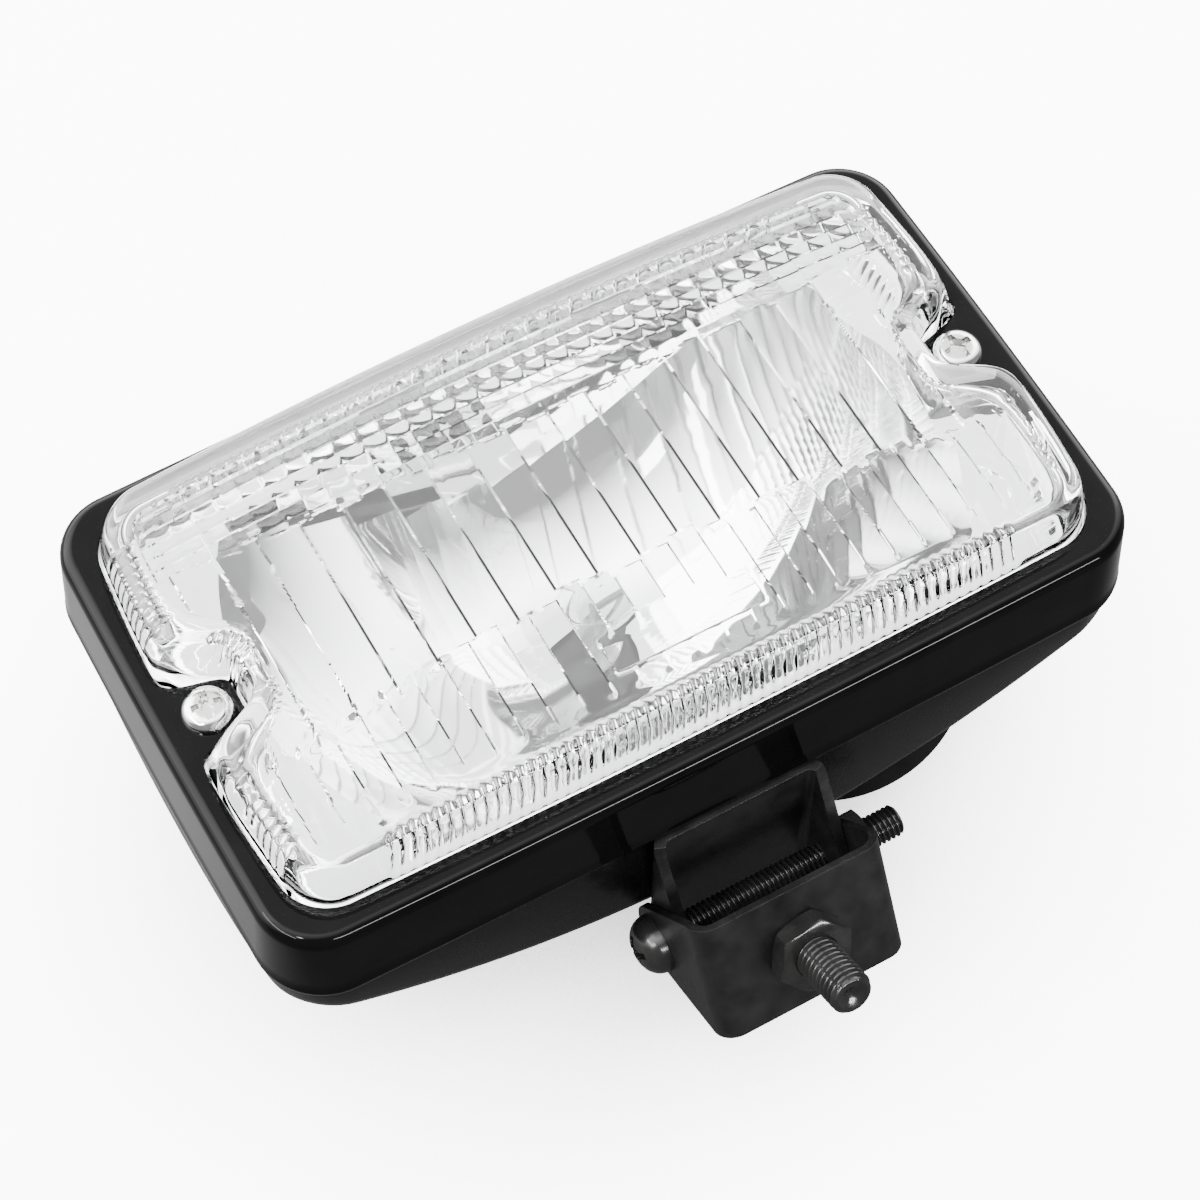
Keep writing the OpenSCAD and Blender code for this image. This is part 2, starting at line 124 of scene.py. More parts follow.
def glass(name, tint, ior):
    mat, tree, shader = new_material(name)
    waves = noise(tree, WAVE_SCALE, 1.0)
    tree.links.new(colour_mix(tree, ramp(tree, waves, 0, 1), tint, CLEAR), shader.inputs["Base Color"])
    bump(tree, shader, waves, WAVE_RELIEF, WAVE_HEIGHT)
    socket(shader, "Transmission Weight", 1.0)
    socket(shader, "Roughness", 0.0)
    socket(shader, "IOR", ior)
    return mat


# Name, dark colour, light colour, roughness from and to, grain, relief, metallic, shine
SURFACES = (
    ("frame_gloss", (0.0008, 0.0008, 0.0009), (0.0016, 0.0016, 0.0018), (0.04, 0.09), 900, 0.04, 0, 0.07),
    ("housing_satin", (0.0015, 0.0015, 0.0016), (0.003, 0.003, 0.0032), (0.2, 0.3), 1400, 0.08, 0, 0.08),
    ("bracket_coat", (0.0025, 0.0025, 0.0026), (0.006, 0.006, 0.0062), (0.28, 0.4), 1800, 0.2, 0, 0.19),
    ("black_steel", (0.005, 0.0049, 0.0048), (0.013, 0.0128, 0.0125), (0.14, 0.25), 1500, 0.12, 0.3, 0.45),
    ("screw_chrome", (0.5, 0.5, 0.49), (0.68, 0.68, 0.67), (0.08, 0.18), 1300, 0.08, 1, 0.5),
    ("spring_steel", (0.42, 0.42, 0.41), (0.6, 0.6, 0.59), (0.22, 0.36), 1000, 0.12, 1, 0.5),
    ("tungsten", (0.18, 0.18, 0.18), (0.3, 0.3, 0.3), (0.4, 0.5), 3000, 0.2, 1, 0.5),
    ("reflector_chrome", (0.86, 0.86, 0.86), (0.93, 0.93, 0.93), (0.02, 0.05), 260, 0.02, 1, 0.5),
    ("seal_rubber", (0.012, 0.012, 0.012), (0.025, 0.025, 0.025), (0.6, 0.75), 1600, 0.3, 0, 0.5),
    ("seal_silicone", (0.7, 0.7, 0.68), (0.8, 0.8, 0.78), (0.45, 0.6), 1600, 0.2, 0, 0.5),
    ("cap_black", (0.002, 0.002, 0.002), (0.004, 0.004, 0.004), (0.16, 0.28), 1200, 0.1, 0, 0.12),
    ("ceramic", (0.68, 0.66, 0.6), (0.8, 0.78, 0.72), (0.5, 0.65), 1200, 0.2, 0, 0.5),
    ("lead_blue", (0.02, 0.035, 0.12), (0.035, 0.055, 0.17), (0.35, 0.45), 1500, 0.1, 0, 0.5),
    ("nylon", (0.66, 0.65, 0.6), (0.76, 0.75, 0.7), (0.4, 0.52), 1300, 0.1, 0, 0.5),
)
MATS = {row[0]: surface(*row) for row in SURFACES}
MATS["lens_glass"] = glass("lens_glass", (0.95, 0.965, 0.965), 1.5)
MATS["bulb_quartz"] = glass("bulb_quartz", (0.96, 0.965, 0.96), 1.46)


# Mesh helpers. All sizes below are in millimetres.

BEVEL_FROM = math.radians(40)


def piece(name, verts, faces, body, slot, place, sharp, replaces=()):
    """Visible piece that rides on a body. Edges sharper than `sharp` degrees stay sharp."""
    mesh = bpy.data.meshes.new(name)
    mesh.from_pydata((np.asarray(verts, float) * MM).tolist(), [], [list(map(int, f)) for f in faces])
    mesh.transform(place)
    shell = bmesh.new()
    shell.from_mesh(mesh)
    bmesh.ops.recalc_face_normals(shell, faces=shell.faces)
    if shell.calc_volume(signed=True) < 0:
        bmesh.ops.reverse_faces(shell, faces=shell.faces)
    shell.to_mesh(mesh)
    shell.free()
    mesh.validate()
    mesh.shade_smooth()
    mesh.set_sharp_from_angle(angle=math.radians(sharp))
    mesh.materials.append(MATS[slot])
    obj = bpy.data.objects.new(name, mesh)
    bpy.context.scene.collection.objects.link(obj)
    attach(obj, body)
    if replaces:
        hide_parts(*replaces)
    return obj


def bevel(obj, width, segments):
    mod = obj.modifiers.new("bevel", "BEVEL")
    mod.width = width * MM
    mod.segments = segments
    mod.limit_method = "ANGLE"
    mod.angle_limit = BEVEL_FROM
    mod.harden_normals = True


def join_rings(rings, close_rings=False, start_cap=False, end_cap=False):
    """Quads between rings of equal length, each of which closes on itself."""
    n = len(rings[0])
    m = len(rings)
    verts = np.concatenate([np.asarray(r, float) for r in rings])
    faces = []
    idx = np.arange(n)
    nxt = (idx + 1) % n
    for j in range(m if close_rings else m - 1):
        k = (j + 1) % m
        faces.append(np.stack([j * n + idx, j * n + nxt, k * n + nxt, k * n + idx], 1))
    faces = np.concatenate(faces).tolist()
    if start_cap:
        faces.append(list(range(n - 1, -1, -1)))
    if end_cap:
        faces.append([(m - 1) * n + i for i in range(n)])
    return verts, faces


def smooth_step(x, low, high):
    t = np.clip((x - low) / (high - low), 0, 1)
    return t * t * (3 - 2 * t)


def arc_z(middle, radius, degrees):
    """Heights of points round an arc, by their angle above its middle."""
    return [middle + radius * math.sin(math.radians(a)) for a in degrees]


# Outlines of the lens and the frame, sampled on one grid of columns and rows

CORNER_COLUMNS = 14
STRAIGHT_COLUMNS = 319
ROWS = 211
ROW_SPAN = 42.5

# A column is (-1, 0 or 1 for left corner, straight part or right corner, and its place there).
columns = np.concatenate([
    [(-1, s) for s in np.sin(np.linspace(math.pi / 2, 0, CORNER_COLUMNS + 1)[:-1])],
    [(0, v) for v in np.linspace(-1, 1, STRAIGHT_COLUMNS)],
    [(1, s) for s in np.sin(np.linspace(0, math.pi / 2, CORNER_COLUMNS + 1)[1:])],
])
NX = len(columns) - 1


def row_values():
    """Rows from -1 to 1, closer together at the notch's walls and at the lens's stepped rows."""
    z = np.linspace(-1, 1, 4001)
    edges = [-42, -38, -34, -17, -13, -4, 4, 13, 18, 37.5, 42]
    density = [0.8, 1.0, 0.5, 1.5, 2.5, 0.6, 2.5, 0.8, 2.2, 0.8]
    here = np.interp(z * ROW_SPAN, np.repeat(edges, 2)[1:-1], np.repeat(density, 2))
    run = np.concatenate([[0], np.cumsum(here[1:])])
    return np.interp(np.linspace(0, run[-1], ROWS), run, z)


rows = row_values()
NZ = len(rows) - 1

# The grid's border, once round: bottom, right, top, left
edge_i = np.concatenate([
    np.arange(NX + 1), np.full(NZ, NX), np.arange(NX - 1, -1, -1), np.zeros(NZ - 1, int),
])
edge_j = np.concatenate([
    np.zeros(NX + 1, int), np.arange(1, NZ + 1), np.full(NX, NZ), np.arange(NZ - 1, 0, -1),
])

LENS_HALF_X, LENS_HALF_Z, LENS_CORNER = 76.3, 42.1, 8
LENS_TAPER = 1.3
LENS_BOW_X, LENS_BOW_Z = 2.6, 0.87
LENS_EDGE_FRONT, LENS_CROWN = 8.65, 3.16
NOTCH_DEPTH, NOTCH_HALF, NOTCH_FROM_X = 11.2, 5.97, 48
FRAME_HALF_X, FRAME_HALF_Z, FRAME_CORNER = 82.85, 47.45, 11
FRAME_BOW_X, FRAME_BOW_Z = 0.6, 0.8


def grid_at(i, j, a, b, r):
    """Grid points of a rounded rectangle with half sizes a and b and corner radius r."""
    kind, value = columns[i, 0], columns[i, 1]
    x = np.where(kind == 0, value * (a - r), kind * (a - r + r * value))
    top = np.where(kind == 0, b, b - r + r * np.sqrt(np.clip(1 - value**2, 0, 1)))
    return x, rows[j] * top


def lens_at(i, j, grow, rise):
    """Point of the lens's outline family. Grow widens it; rise is 0 at the frame and 1 at the front."""
    a = LENS_HALF_X + grow - LENS_TAPER * rise
    b = LENS_HALF_Z + grow - LENS_TAPER * rise
    x, z = grid_at(i, j, a, b, np.maximum(LENS_CORNER + grow, 1.5))
    half = NOTCH_HALF + LENS_TAPER * rise - grow
    notch = NOTCH_DEPTH / (1 + np.abs(z / half) ** (8.6 - 3.4 * rise))
    weight = smooth_step(np.abs(x), NOTCH_FROM_X, a)
    out = LENS_BOW_X * (1 - (z / b) ** 2) - notch
    return x + np.sign(x) * out * weight, z * (1 + LENS_BOW_Z * (1 - (x / a) ** 2) / b)


def frame_at(i, j, grow):
    a = FRAME_HALF_X + grow
    b = FRAME_HALF_Z + grow
    x, z = grid_at(i, j, a, b, FRAME_CORNER + grow)
    return x * (1 + FRAME_BOW_X * (1 - (z / b) ** 2) / a), z * (1 + FRAME_BOW_Z * (1 - (x / a) ** 2) / b)


def lens_front(x):
    return LENS_EDGE_FRONT + LENS_CROWN * (1 - (x / LENS_HALF_X) ** 2)


def ring(points, y):
    x, z = points
    return np.stack([x, np.broadcast_to(y, x.shape), z], 1)


def frame_ring(grow, y):
    return ring(frame_at(edge_i, edge_j, grow), y)


def lens_ring(grow, rise, y=None, back=0.0):
    """Ring of the lens at a level y, or without one a distance behind the lens's front face."""
    points = lens_at(edge_i, edge_j, grow, rise)
    return ring(points, back - lens_front(points[0]) if y is None else y)


# Lens

STEP_LINES = np.array([21.6, 24.3, 26.8, 29.3, 31.8, 34.3, 36.6])
BAND_BOTTOM = -34.6
# Edges of the middle band: height, how it curves with x, and how far single flutes stray from it
SPLIT_TOP, SPLIT_TOP_CURVE, SPLIT_TOP_STRAY = 18.9, 0.0006, 0.6
SPLIT_LOW, SPLIT_LOW_CURVE, SPLIT_LOW_STRAY = -13.6, 0.00105, 1.0
# Pitch and offset of each band's flutes
TOP_FLUTES, MIDDLE_FLUTES, LOW_FLUTES = (4.43, 1.3), (7.75, 0.9), (5.42, 0.7)
PLATE_X, PLATE_Z, PLATE_HALF_X, PLATE_HALF_Z = 1, -28.2, 14.8, 3.8
PLATE_BORDER = 0.6
# How far from the middle the ribs of each wall reach
RIB_END_LOW, RIB_END_HIGH, RIB_END_NOTCH = 61, 64, 10.5
RIB_SIDE_FROM, RIB_SIDE_TO = 15, 32
GLASS_THICK = 3.0
RELIEF_HALF_X, RELIEF_HALF_Z = 71.5, 37.2
# Outlines by how far they stand outside the lens's nominal one
FACE_EDGE, WALL, FLANGE, INSIDE, GRID_EDGE = -2.4, -0.3, 2.6, -3.3, -4.8


def bulge(u):
    return 1 - (2 * u - 1) ** 2


def saw(x, pitch, offset):
    return np.mod((x - offset) / pitch, 1.0)


def flute_number(x, pitch, offset):
    return np.floor((x - offset) / pitch)


def dome(u, length, from_end):
    """Convex flute across u in 0..1 whose end is rounded over a length."""
    t = np.clip(1 - from_end / length, 0, 1)
    return np.maximum(1 - (2 * u - 1) ** 2 - t * t, 0)


def optics(x, z):
    """Relief of the lens's inner face: stepped rows above, long flutes in the middle, short ones below."""
    stray = SPLIT_TOP_STRAY * np.sin(flute_number(x, *TOP_FLUTES) * 2.3)
    split_top = SPLIT_TOP + SPLIT_TOP_CURVE * x**2 + stray
    stray = SPLIT_LOW_STRAY * np.sin(flute_number(x, *LOW_FLUTES) * 1.7)
    split_low = SPLIT_LOW - SPLIT_LOW_CURVE * x**2 + stray
    u_top, u_mid, u_low = saw(x, *TOP_FLUTES), saw(x, *MIDDLE_FLUTES), saw(x, *LOW_FLUTES)
    k = np.clip(np.searchsorted(STEP_LINES, z) - 1, 0, len(STEP_LINES) - 2)
    v = np.clip((z - STEP_LINES[k]) / (STEP_LINES[k + 1] - STEP_LINES[k]), 0, 1)
    steps = np.where(z > STEP_LINES[0], 0.42 * v + 0.05 * bulge(v), 0)
    stepped = 0.2 * dome(u_top, 0.9, z - split_top) + steps
    along = np.clip((split_top - z) / (split_top - split_low), 0, 1)
    middle = 0.16 * bulge(u_mid) + (u_mid - 0.5) * (0.3 + 0.45 * along)
    along = np.clip((z - BAND_BOTTOM) / (split_low - BAND_BOTTOM), 0, 1)
    lower = 0.1 * dome(u_low, 1.6, split_low - z) - (u_low - 0.5) * (0.22 + 0.25 * along)
    relief = np.where(z > split_top, stepped, np.where(z > split_low, middle, lower))
    # The plate is blank inside a thin raised border.
    to_border = np.minimum(PLATE_HALF_X - np.abs(x - PLATE_X), PLATE_HALF_Z - np.abs(z - PLATE_Z))
    relief = np.where(to_border > 0, np.where(to_border < PLATE_BORDER, 0.15, 0.5), relief)
    return np.where(z < BAND_BOTTOM, 0.1, np.where(z > STEP_LINES[-1], 0.3, relief))


def rib_depth():
    """Depth of the ribs on the lens's walls at each point of its outline."""
    x, z = lens_at(edge_i, edge_j, INSIDE, 0.6)
    step = np.hypot(np.diff(np.append(x, x[0])), np.diff(np.append(z, z[0])))
    run = np.concatenate([[0], np.cumsum(step)[:-1]])
    far_x, far_z = np.abs(x), np.abs(z)
    at_end = (edge_i == 0) | (edge_i == NX)

    def ribs(depth, along, pitch):
        return depth * np.abs(np.sin(math.pi * along / pitch))

    return np.select(
        [
            (edge_j == 0) & (far_x < RIB_END_LOW),
            (edge_j == NZ) & (far_x < RIB_END_HIGH),
            at_end & (far_z > RIB_SIDE_FROM) & (far_z < RIB_SIDE_TO),
            at_end & (far_z < RIB_END_NOTCH),
        ],
        [
            ribs(0.55, x, 2.15) * smooth_step(RIB_END_LOW - far_x, 0, 3),
            ribs(0.38, x, 1.5) * smooth_step(RIB_END_HIGH - far_x, 0, 3),
            ribs(0.45, z, 1.9),
            ribs(0.28, run, 1.6) * smooth_step(RIB_END_NOTCH - far_z, 0, 2),
        ],
        0.0,
    )


def build_lens():
    ribs = rib_depth()
    shell = [
        # outer wall, from the front face's edge back to the flange
        lens_ring(FACE_EDGE, 1.0), lens_ring(-1.3, 1.0, back=0.18), lens_ring(-0.65, 0.95, back=0.75),
        lens_ring(WALL, 0.86, back=1.9), lens_ring(WALL, 0.5, -4.6), lens_ring(WALL, 0.1, -1.0),
        lens_ring(0.0, 0, 1.2), lens_ring(FLANGE, 0, 1.2), lens_ring(FLANGE, 0, 3.2),
        # ribbed inner wall, from the flange up to the inner face
        lens_ring(INSIDE, 0, 3.2), lens_ring(INSIDE, 0, 1.6), lens_ring(INSIDE - 0.6 * ribs, 0.03, 0.6),
        lens_ring(INSIDE - ribs, 0.1, -0.4), lens_ring(INSIDE - ribs, 0.5, -3.4),
        lens_ring(INSIDE - ribs, 0.84, back=4.0), lens_ring(-3.6 - 0.9 * ribs, 0.95, back=3.35),
        lens_ring(-4.0 - 0.5 * ribs, 1.0, back=3.05),
    ]
    verts, faces = join_rings(shell)
    n = len(edge_i)
    # outer face, from the edge to the middle
    x0, z0 = lens_at(edge_i, edge_j, FACE_EDGE, 1.0)
    inward = [np.stack([x0 * s, -lens_front(x0 * s), z0 * s], 1) for s in (0.8, 0.55, 0.3, 0.08)]
    idx = np.arange(n)
    nxt = (idx + 1) % n
    previous = idx
    for k in range(len(inward)):
        start = len(verts) + k * n
        faces += np.stack([previous, start + idx, start + nxt, np.roll(previous, -1)], 1).tolist()
        previous = start + idx
    verts = np.concatenate([verts, *inward, [[0, -lens_front(0.0), 0]]])
    centre = len(verts) - 1
    faces += np.stack([previous, np.full(n, centre), np.roll(previous, -1)], 1).tolist()
    # inner face with its relief, which fades out before the border
    gi, gj = (g.ravel() for g in np.meshgrid(np.arange(NX + 1), np.arange(NZ + 1), indexing="ij"))
    x, z = lens_at(gi, gj, GRID_EDGE, 1.0)
    fade = np.minimum(
        smooth_step(RELIEF_HALF_X - np.abs(x), 0, 0.8), smooth_step(RELIEF_HALF_Z - np.abs(z), 0, 0.3)
    )
    flat = -lens_front(x) + GLASS_THICK
    border = (gi == 0) | (gi == NX) | (gj == 0) | (gj == NZ)
    y = np.where(border, flat, flat + optics(x, z) * fade)
    base = len(verts)
    verts = np.concatenate([verts, np.stack([x, y, z], 1)])
    cell = base + (np.arange(NX)[:, None] * (NZ + 1) + np.arange(NZ)).ravel()
    faces += np.stack([cell, cell + 1, cell + NZ + 2, cell + NZ + 1], 1).tolist()
    last = (len(shell) - 1) * n + idx
    grid_edge = edge_i * (NZ + 1) + edge_j + base
    faces += np.stack([last, np.roll(last, -1), np.roll(grid_edge, -1), grid_edge], 1).tolist()
    piece("lens_body", verts, faces, "lamp", "lens_glass", LAMP, 30, ["lens"])


build_lens()


# Front frame

SHEET = 0.9
LIP = 2.6
SKIRT_GROW, SKIRT_LENGTH = 1.15, 14.1


def build_bezel():
    opening = lens_at(edge_i, edge_j, 0.0, 0.0)
    rings = [
        ring(opening, SHEET), ring(opening, 0.35),
        ring(lens_at(edge_i, edge_j, 0.1, 0.0), 0.1), ring(lens_at(edge_i, edge_j, 0.35, 0.0), 0),
    ]
    for a in np.linspace(0, 90, 9):
        s, c = math.sin(math.radians(a)), math.cos(math.radians(a))
        rings.append(frame_ring(-LIP * (1 - s), LIP * (1 - c)))
    rings += [frame_ring(t, LIP + SKIRT_LENGTH * t) for t in np.linspace(0.15, 1, 6)]
    # rolled edge of the skirt, and back up its inside
    for grow, y in (
        (1.12, 17.0), (SKIRT_GROW, 17.4), (1.12, 17.8), (0.95, 18.0),
        (SKIRT_GROW - SHEET + 0.1, 18.0), (SKIRT_GROW - SHEET, 17.8), (-SHEET, LIP),
    ):
        rings.append(frame_ring(grow, y))
    for a in (60, 30, 0):
        s, c = math.sin(math.radians(a)), math.cos(math.radians(a))
        rings.append(frame_ring(-LIP + (LIP - SHEET) * s, LIP - (LIP - SHEET) * c))
    verts, faces = join_rings(rings, close_rings=True)
    piece("bezel_body", verts, faces, "lamp", "frame_gloss", LAMP, 40, ["bezel"])


build_bezel()


# Reflector: a parabola cut flat above and below, with walls forward to a flat rim

DISH_RINGS, WALL_RINGS = 36, 8
DISH_THICK = 1.2


def build_reflector():
    focal, vertex, flat, front, hole = 23.0, 50.0, 36.0, 4.4, 8.6
    reach = math.sqrt(4 * focal * (vertex - front))
    corner = math.asin(flat / reach)
    turns = []
    for start, end, n in (
        (-corner, corner, 40), (corner, math.pi - corner, 56),
        (math.pi - corner, math.pi + corner, 40), (math.pi + corner, 2 * math.pi - corner, 56),
    ):
        turns += list(np.linspace(start, end, n + 1)[:-1])
    c, s = np.cos(turns), np.sin(turns)
    limit = np.minimum(reach, flat / np.maximum(np.abs(s), 1e-9))
    rings = []
    for t in np.linspace(0, 1, DISH_RINGS):
        rho = hole + (limit - hole) * t
        rings.append(np.stack([rho * c, vertex - rho**2 / (4 * focal), rho * s], 1))
    edge = rings[-1]
    for t in np.linspace(0, 1, WALL_RINGS + 1)[1:]:
        wall = edge.copy()
        wall[:, 1] = edge[:, 1] + (front - edge[:, 1]) * t
        rings.append(wall)
    # the rim's outline, a rounded rectangle
    a, b, r = 79.2, 43.8, 7.5
    span = np.minimum(a / np.maximum(np.abs(c), 1e-9), b / np.maximum(np.abs(s), 1e-9))
    rim = np.stack([c, s], 1) * span[:, None]
    over = (np.abs(rim[:, 0]) > a - r) & (np.abs(rim[:, 1]) > b - r)
    centre = np.sign(rim) * np.array([a - r, b - r])
    delta = rim - centre
    rim = np.where(over[:, None], centre + delta / np.linalg.norm(delta, axis=1)[:, None] * r, rim)
    for t in (0.04, 0.5, 1.0):
        p = edge[:, [0, 2]] * (1 - t) + rim * t
        rings.append(np.stack([p[:, 0], np.full(len(p), front), p[:, 1]], 1))
    shifted = []
    for j, points in enumerate(rings):
        back = points.copy()
        back[:, 1] += DISH_THICK
        if j < DISH_RINGS:
            back[:, [0, 2]] *= 1 + 0.6 / np.maximum(np.linalg.norm(points[:, [0, 2]], axis=1), 9)[:, None]
        elif j < DISH_RINGS + WALL_RINGS:
            back[:, [0, 2]] += np.sign(points[:, [0, 2]]) * np.array([0.9, 1.2])
        shifted.append(back)
    verts, faces = join_rings(rings + shifted[::-1], close_rings=True)
    piece("reflector_dish", verts, faces, "lamp", "reflector_chrome", LAMP, 30, ["reflector"])


build_reflector()


# Rear housing

HOUSING_DEPTH = 62
CROWN_DROP, CROWN_HALF_Z, CROWN_X = 13.5, 48, 280


def housing_back(x, z):
    return HOUSING_DEPTH - CROWN_DROP * (z / CROWN_HALF_Z) ** 2 - x * x / CROWN_X


def build_housing():
    def back(grow, inset, scale=1.0):
        x, z = frame_at(edge_i, edge_j, grow)
        x, z = x * scale, z * scale
        return np.stack([x, housing_back(x, z) - inset, z], 1)

    rings = [back(-4.5, 0, s) for s in (0.04, 0.15, 0.3, 0.45, 0.6, 0.75, 0.88, 0.96)]
    for grow, inset in ((-4.5, 0), (-3.3, 0.25), (-2.2, 0.75), (-1.2, 1.6), (-0.5, 2.8), (-0.1, 4.6)):
        rings.append(back(grow, inset))
    for grow, y in (
        (-0.1, 19.5), (-0.1, 18.2), (-1.1, 7), (-1.1, 5.8), (-2.2, 5.8), (-2.3, 7), (-1.3, 18.2),
    ):
        rings.append(frame_ring(grow, y))
    rings += [back(-1.3, 5.8), back(-3, 2.4), back(-5.7, 1.2)]
    rings += [back(-5.7, 1.2, s) for s in (0.88, 0.6, 0.3, 0.04)]
    verts, faces = join_rings(rings, start_cap=True, end_cap=True)
    piece("housing_shell", verts, faces, "lamp", "housing_satin", LAMP, 40, ["rear_housing"])


build_housing()


# Brackets, each from one sheet: a U-shaped path whose width across changes along it

FOOT_HALF, FOOT_EAR, FOOT_STRAIGHT = 12.5, 7.0, 4
# Where the foot's slanting edges meet its round ears, from the bolt: back or forth, and up
FRONT_MEETS, REAR_MEETS = (6.4, 2.8), (6.85, 1.4)
ARM_EAR, ARM_WEB_Z = 8.6, -48.15
# Ends of the arm's slanting front edge, and its rear edge above and beside the bolt
ARM_FRONT_TOP, ARM_FRONT_LOW = (18.7, -50.35), (39.1, -63.4)
ARM_REAR_TOP, ARM_REAR = 52.8, 52.4


def sheet_u(half, thick, bend, heights, across):
    """Stations (outer x, z, inner x, z, width range) round a U that opens upwards from its web at z 0."""
    stations = []
    for z in heights[::-1]:
        stations.append((-half, z, -half + thick, z, across(z)))
    for a in np.linspace(0, 90, 9)[1:]:
        c, s = math.cos(math.radians(a)), math.sin(math.radians(a))
        stations.append((
            -half + bend - bend * c, bend - bend * s,
            -half + bend - (bend - thick) * c, bend - (bend - thick) * s, across(bend * (1 - s)),
        ))
    for x in np.linspace(-half + bend, 0, 6)[1:]:
        stations.append((x, 0, x, thick, across(0)))
    mirrored = [(-a, b, -c, d, e) for a, b, c, d, e in stations[:-1]][::-1]
    return stations + mirrored


def sheet_mesh(stations):
    """Closed mesh of a bent sheet, six corners at each station."""
    verts = []
    for ox, oz, ix, iz, (y0, y1) in stations:
        ym = (y0 + y1) / 2
        verts += [(ox, y0, oz), (ox, ym, oz), (ox, y1, oz), (ix, y1, iz), (ix, ym, iz), (ix, y0, iz)]
    faces = []
    for k in range(len(stations) - 1):
        for q in range(6):
            r = (q + 1) % 6
            faces.append([6 * k + q, 6 * k + r, 6 * k + 6 + r, 6 * k + 6 + q])
    faces.append([5, 4, 3, 2, 1, 0])
    end = 6 * (len(stations) - 1)
    faces.append([end + q for q in range(6)])
    return verts, faces


def ear_half(z, middle, radius):
    """Half width of a round ear at a height z."""
    return math.sqrt(max(radius * radius - (z - middle) ** 2, 0.0004))


def foot_width(z):
    """Y range of the foot at a height over its web."""
    if z <= FOOT_STRAIGHT:
        return (-FOOT_HALF, FOOT_HALF)
    run = z - FOOT_STRAIGHT
    (front_y, front_z), (rear_y, rear_z) = FRONT_MEETS, REAR_MEETS
    front = -FOOT_HALF + run * (BOLT_Y - front_y + FOOT_HALF) / (BOLT_Z + front_z - FOOT_STRAIGHT)
    rear = FOOT_HALF + run * (BOLT_Y + rear_y - FOOT_HALF) / (BOLT_Z + rear_z - FOOT_STRAIGHT)
    if z > BOLT_Z + rear_z:
        rear = BOLT_Y + ear_half(z, BOLT_Z, FOOT_EAR)
    if z > BOLT_Z + front_z:
        front = BOLT_Y - ear_half(z, BOLT_Z, FOOT_EAR)
    return (front, rear)


def build_foot():
    heights = list(np.linspace(4.0, BOLT_Z, 10))
    heights += arc_z(BOLT_Z, FOOT_EAR, (11.5, 17, 23.6, 32, 42, 52, 62, 70, 77, 83, 87.5))
    verts, faces = sheet_mesh(sheet_u(18.55, 1.5, 4.0, heights, foot_width))
    obj = piece("foot_bracket", verts, faces, "foot", "bracket_coat", HERE, 35, ["base_bracket"])
    bevel(obj, 0.22, 2)


build_foot()


def arm_width(drop):
    """Y range of the arm at a distance under the housing, in the lamp's frame."""
    z = ARM_WEB_Z - drop
    (top_y, top_z), (low_y, low_z) = ARM_FRONT_TOP, ARM_FRONT_LOW
    if z > top_z:
        return (top_y, ARM_REAR_TOP)
    front = top_y + (top_z - z) * (low_y - top_y) / (top_z - low_z)
    rear = LAMP_BOLT_Y + ear_half(z, LAMP_BOLT_Z, ARM_EAR)
    if z > LAMP_BOLT_Z:
        rear = max(rear, ARM_REAR)
    if z < low_z:
        front = LAMP_BOLT_Y - ear_half(z, LAMP_BOLT_Z, ARM_EAR)
    return (front, rear)


def build_arm():
    heights = list(np.linspace(3.5, 8.05, 5))
    heights += arc_z(8.05, ARM_EAR, (10, 20, 30, 40, 50, 56.9, 62, 67, 72, 77, 82, 87))
    stations = sheet_u(16.9, 2.0, 3.5, heights, arm_width)
    flipped = [(ox, ARM_WEB_Z - oz, ix, ARM_WEB_Z - iz, w) for ox, oz, ix, iz, w in stations]
    verts, faces = sheet_mesh(flipped)
    obj = piece("arm_channel", verts, faces, "lamp", "bracket_coat", LAMP, 35, ["arm_bracket"])
    bevel(obj, 0.35, 3)


build_arm()


# Threads, nuts and screw heads. Each is built on the Z axis and then placed.

THREAD_SIDES, THREAD_LEVELS, HEX_SIDES, HEAD_SIDES = 56, 10, 96, 192
THREAD_DEPTH = 0.6
# A hexagon's round face as a share of its half width, its cone's slope, and how blunt its corners are
HEX_FACE, HEX_SLOPE, HEX_BLUNT = 0.97, 0.58, 0.12


def circle(angle, radius, z):
    return np.stack([radius * np.cos(angle), radius * np.sin(angle), np.broadcast_to(z, angle.shape)], 1)


def thread_mesh(major, pitch, low, high, taper, dimple=0.0):
    """Threaded rod between two heights, with a chamfered lower end that may be dimpled."""
    depth = THREAD_DEPTH * pitch
    angle = np.linspace(0, 2 * math.pi, THREAD_SIDES, endpoint=False)
    rings = []
    if dimple:
        rings = [circle(angle, dimple * f, low + 0.45 * dimple * (1 - f)) for f in (0.02, 0.5, 0.94)]
    start = major - taper
    rings.append(circle(angle, start - 0.25, low))
    for z in np.arange(low, high + 1e-6, pitch / THREAD_LEVELS):
        phase = np.mod(z / pitch - angle / (2 * math.pi), 1.0)
        wave = np.clip(np.abs(phase * 2 - 1) * 1.32 - 0.1, 0, 1)
        r = np.minimum(major - depth * (1 - wave), start + (z - low) * 1.1)
        rings.append(circle(angle, r, z))
    return join_rings(rings, start_cap=True, end_cap=True)


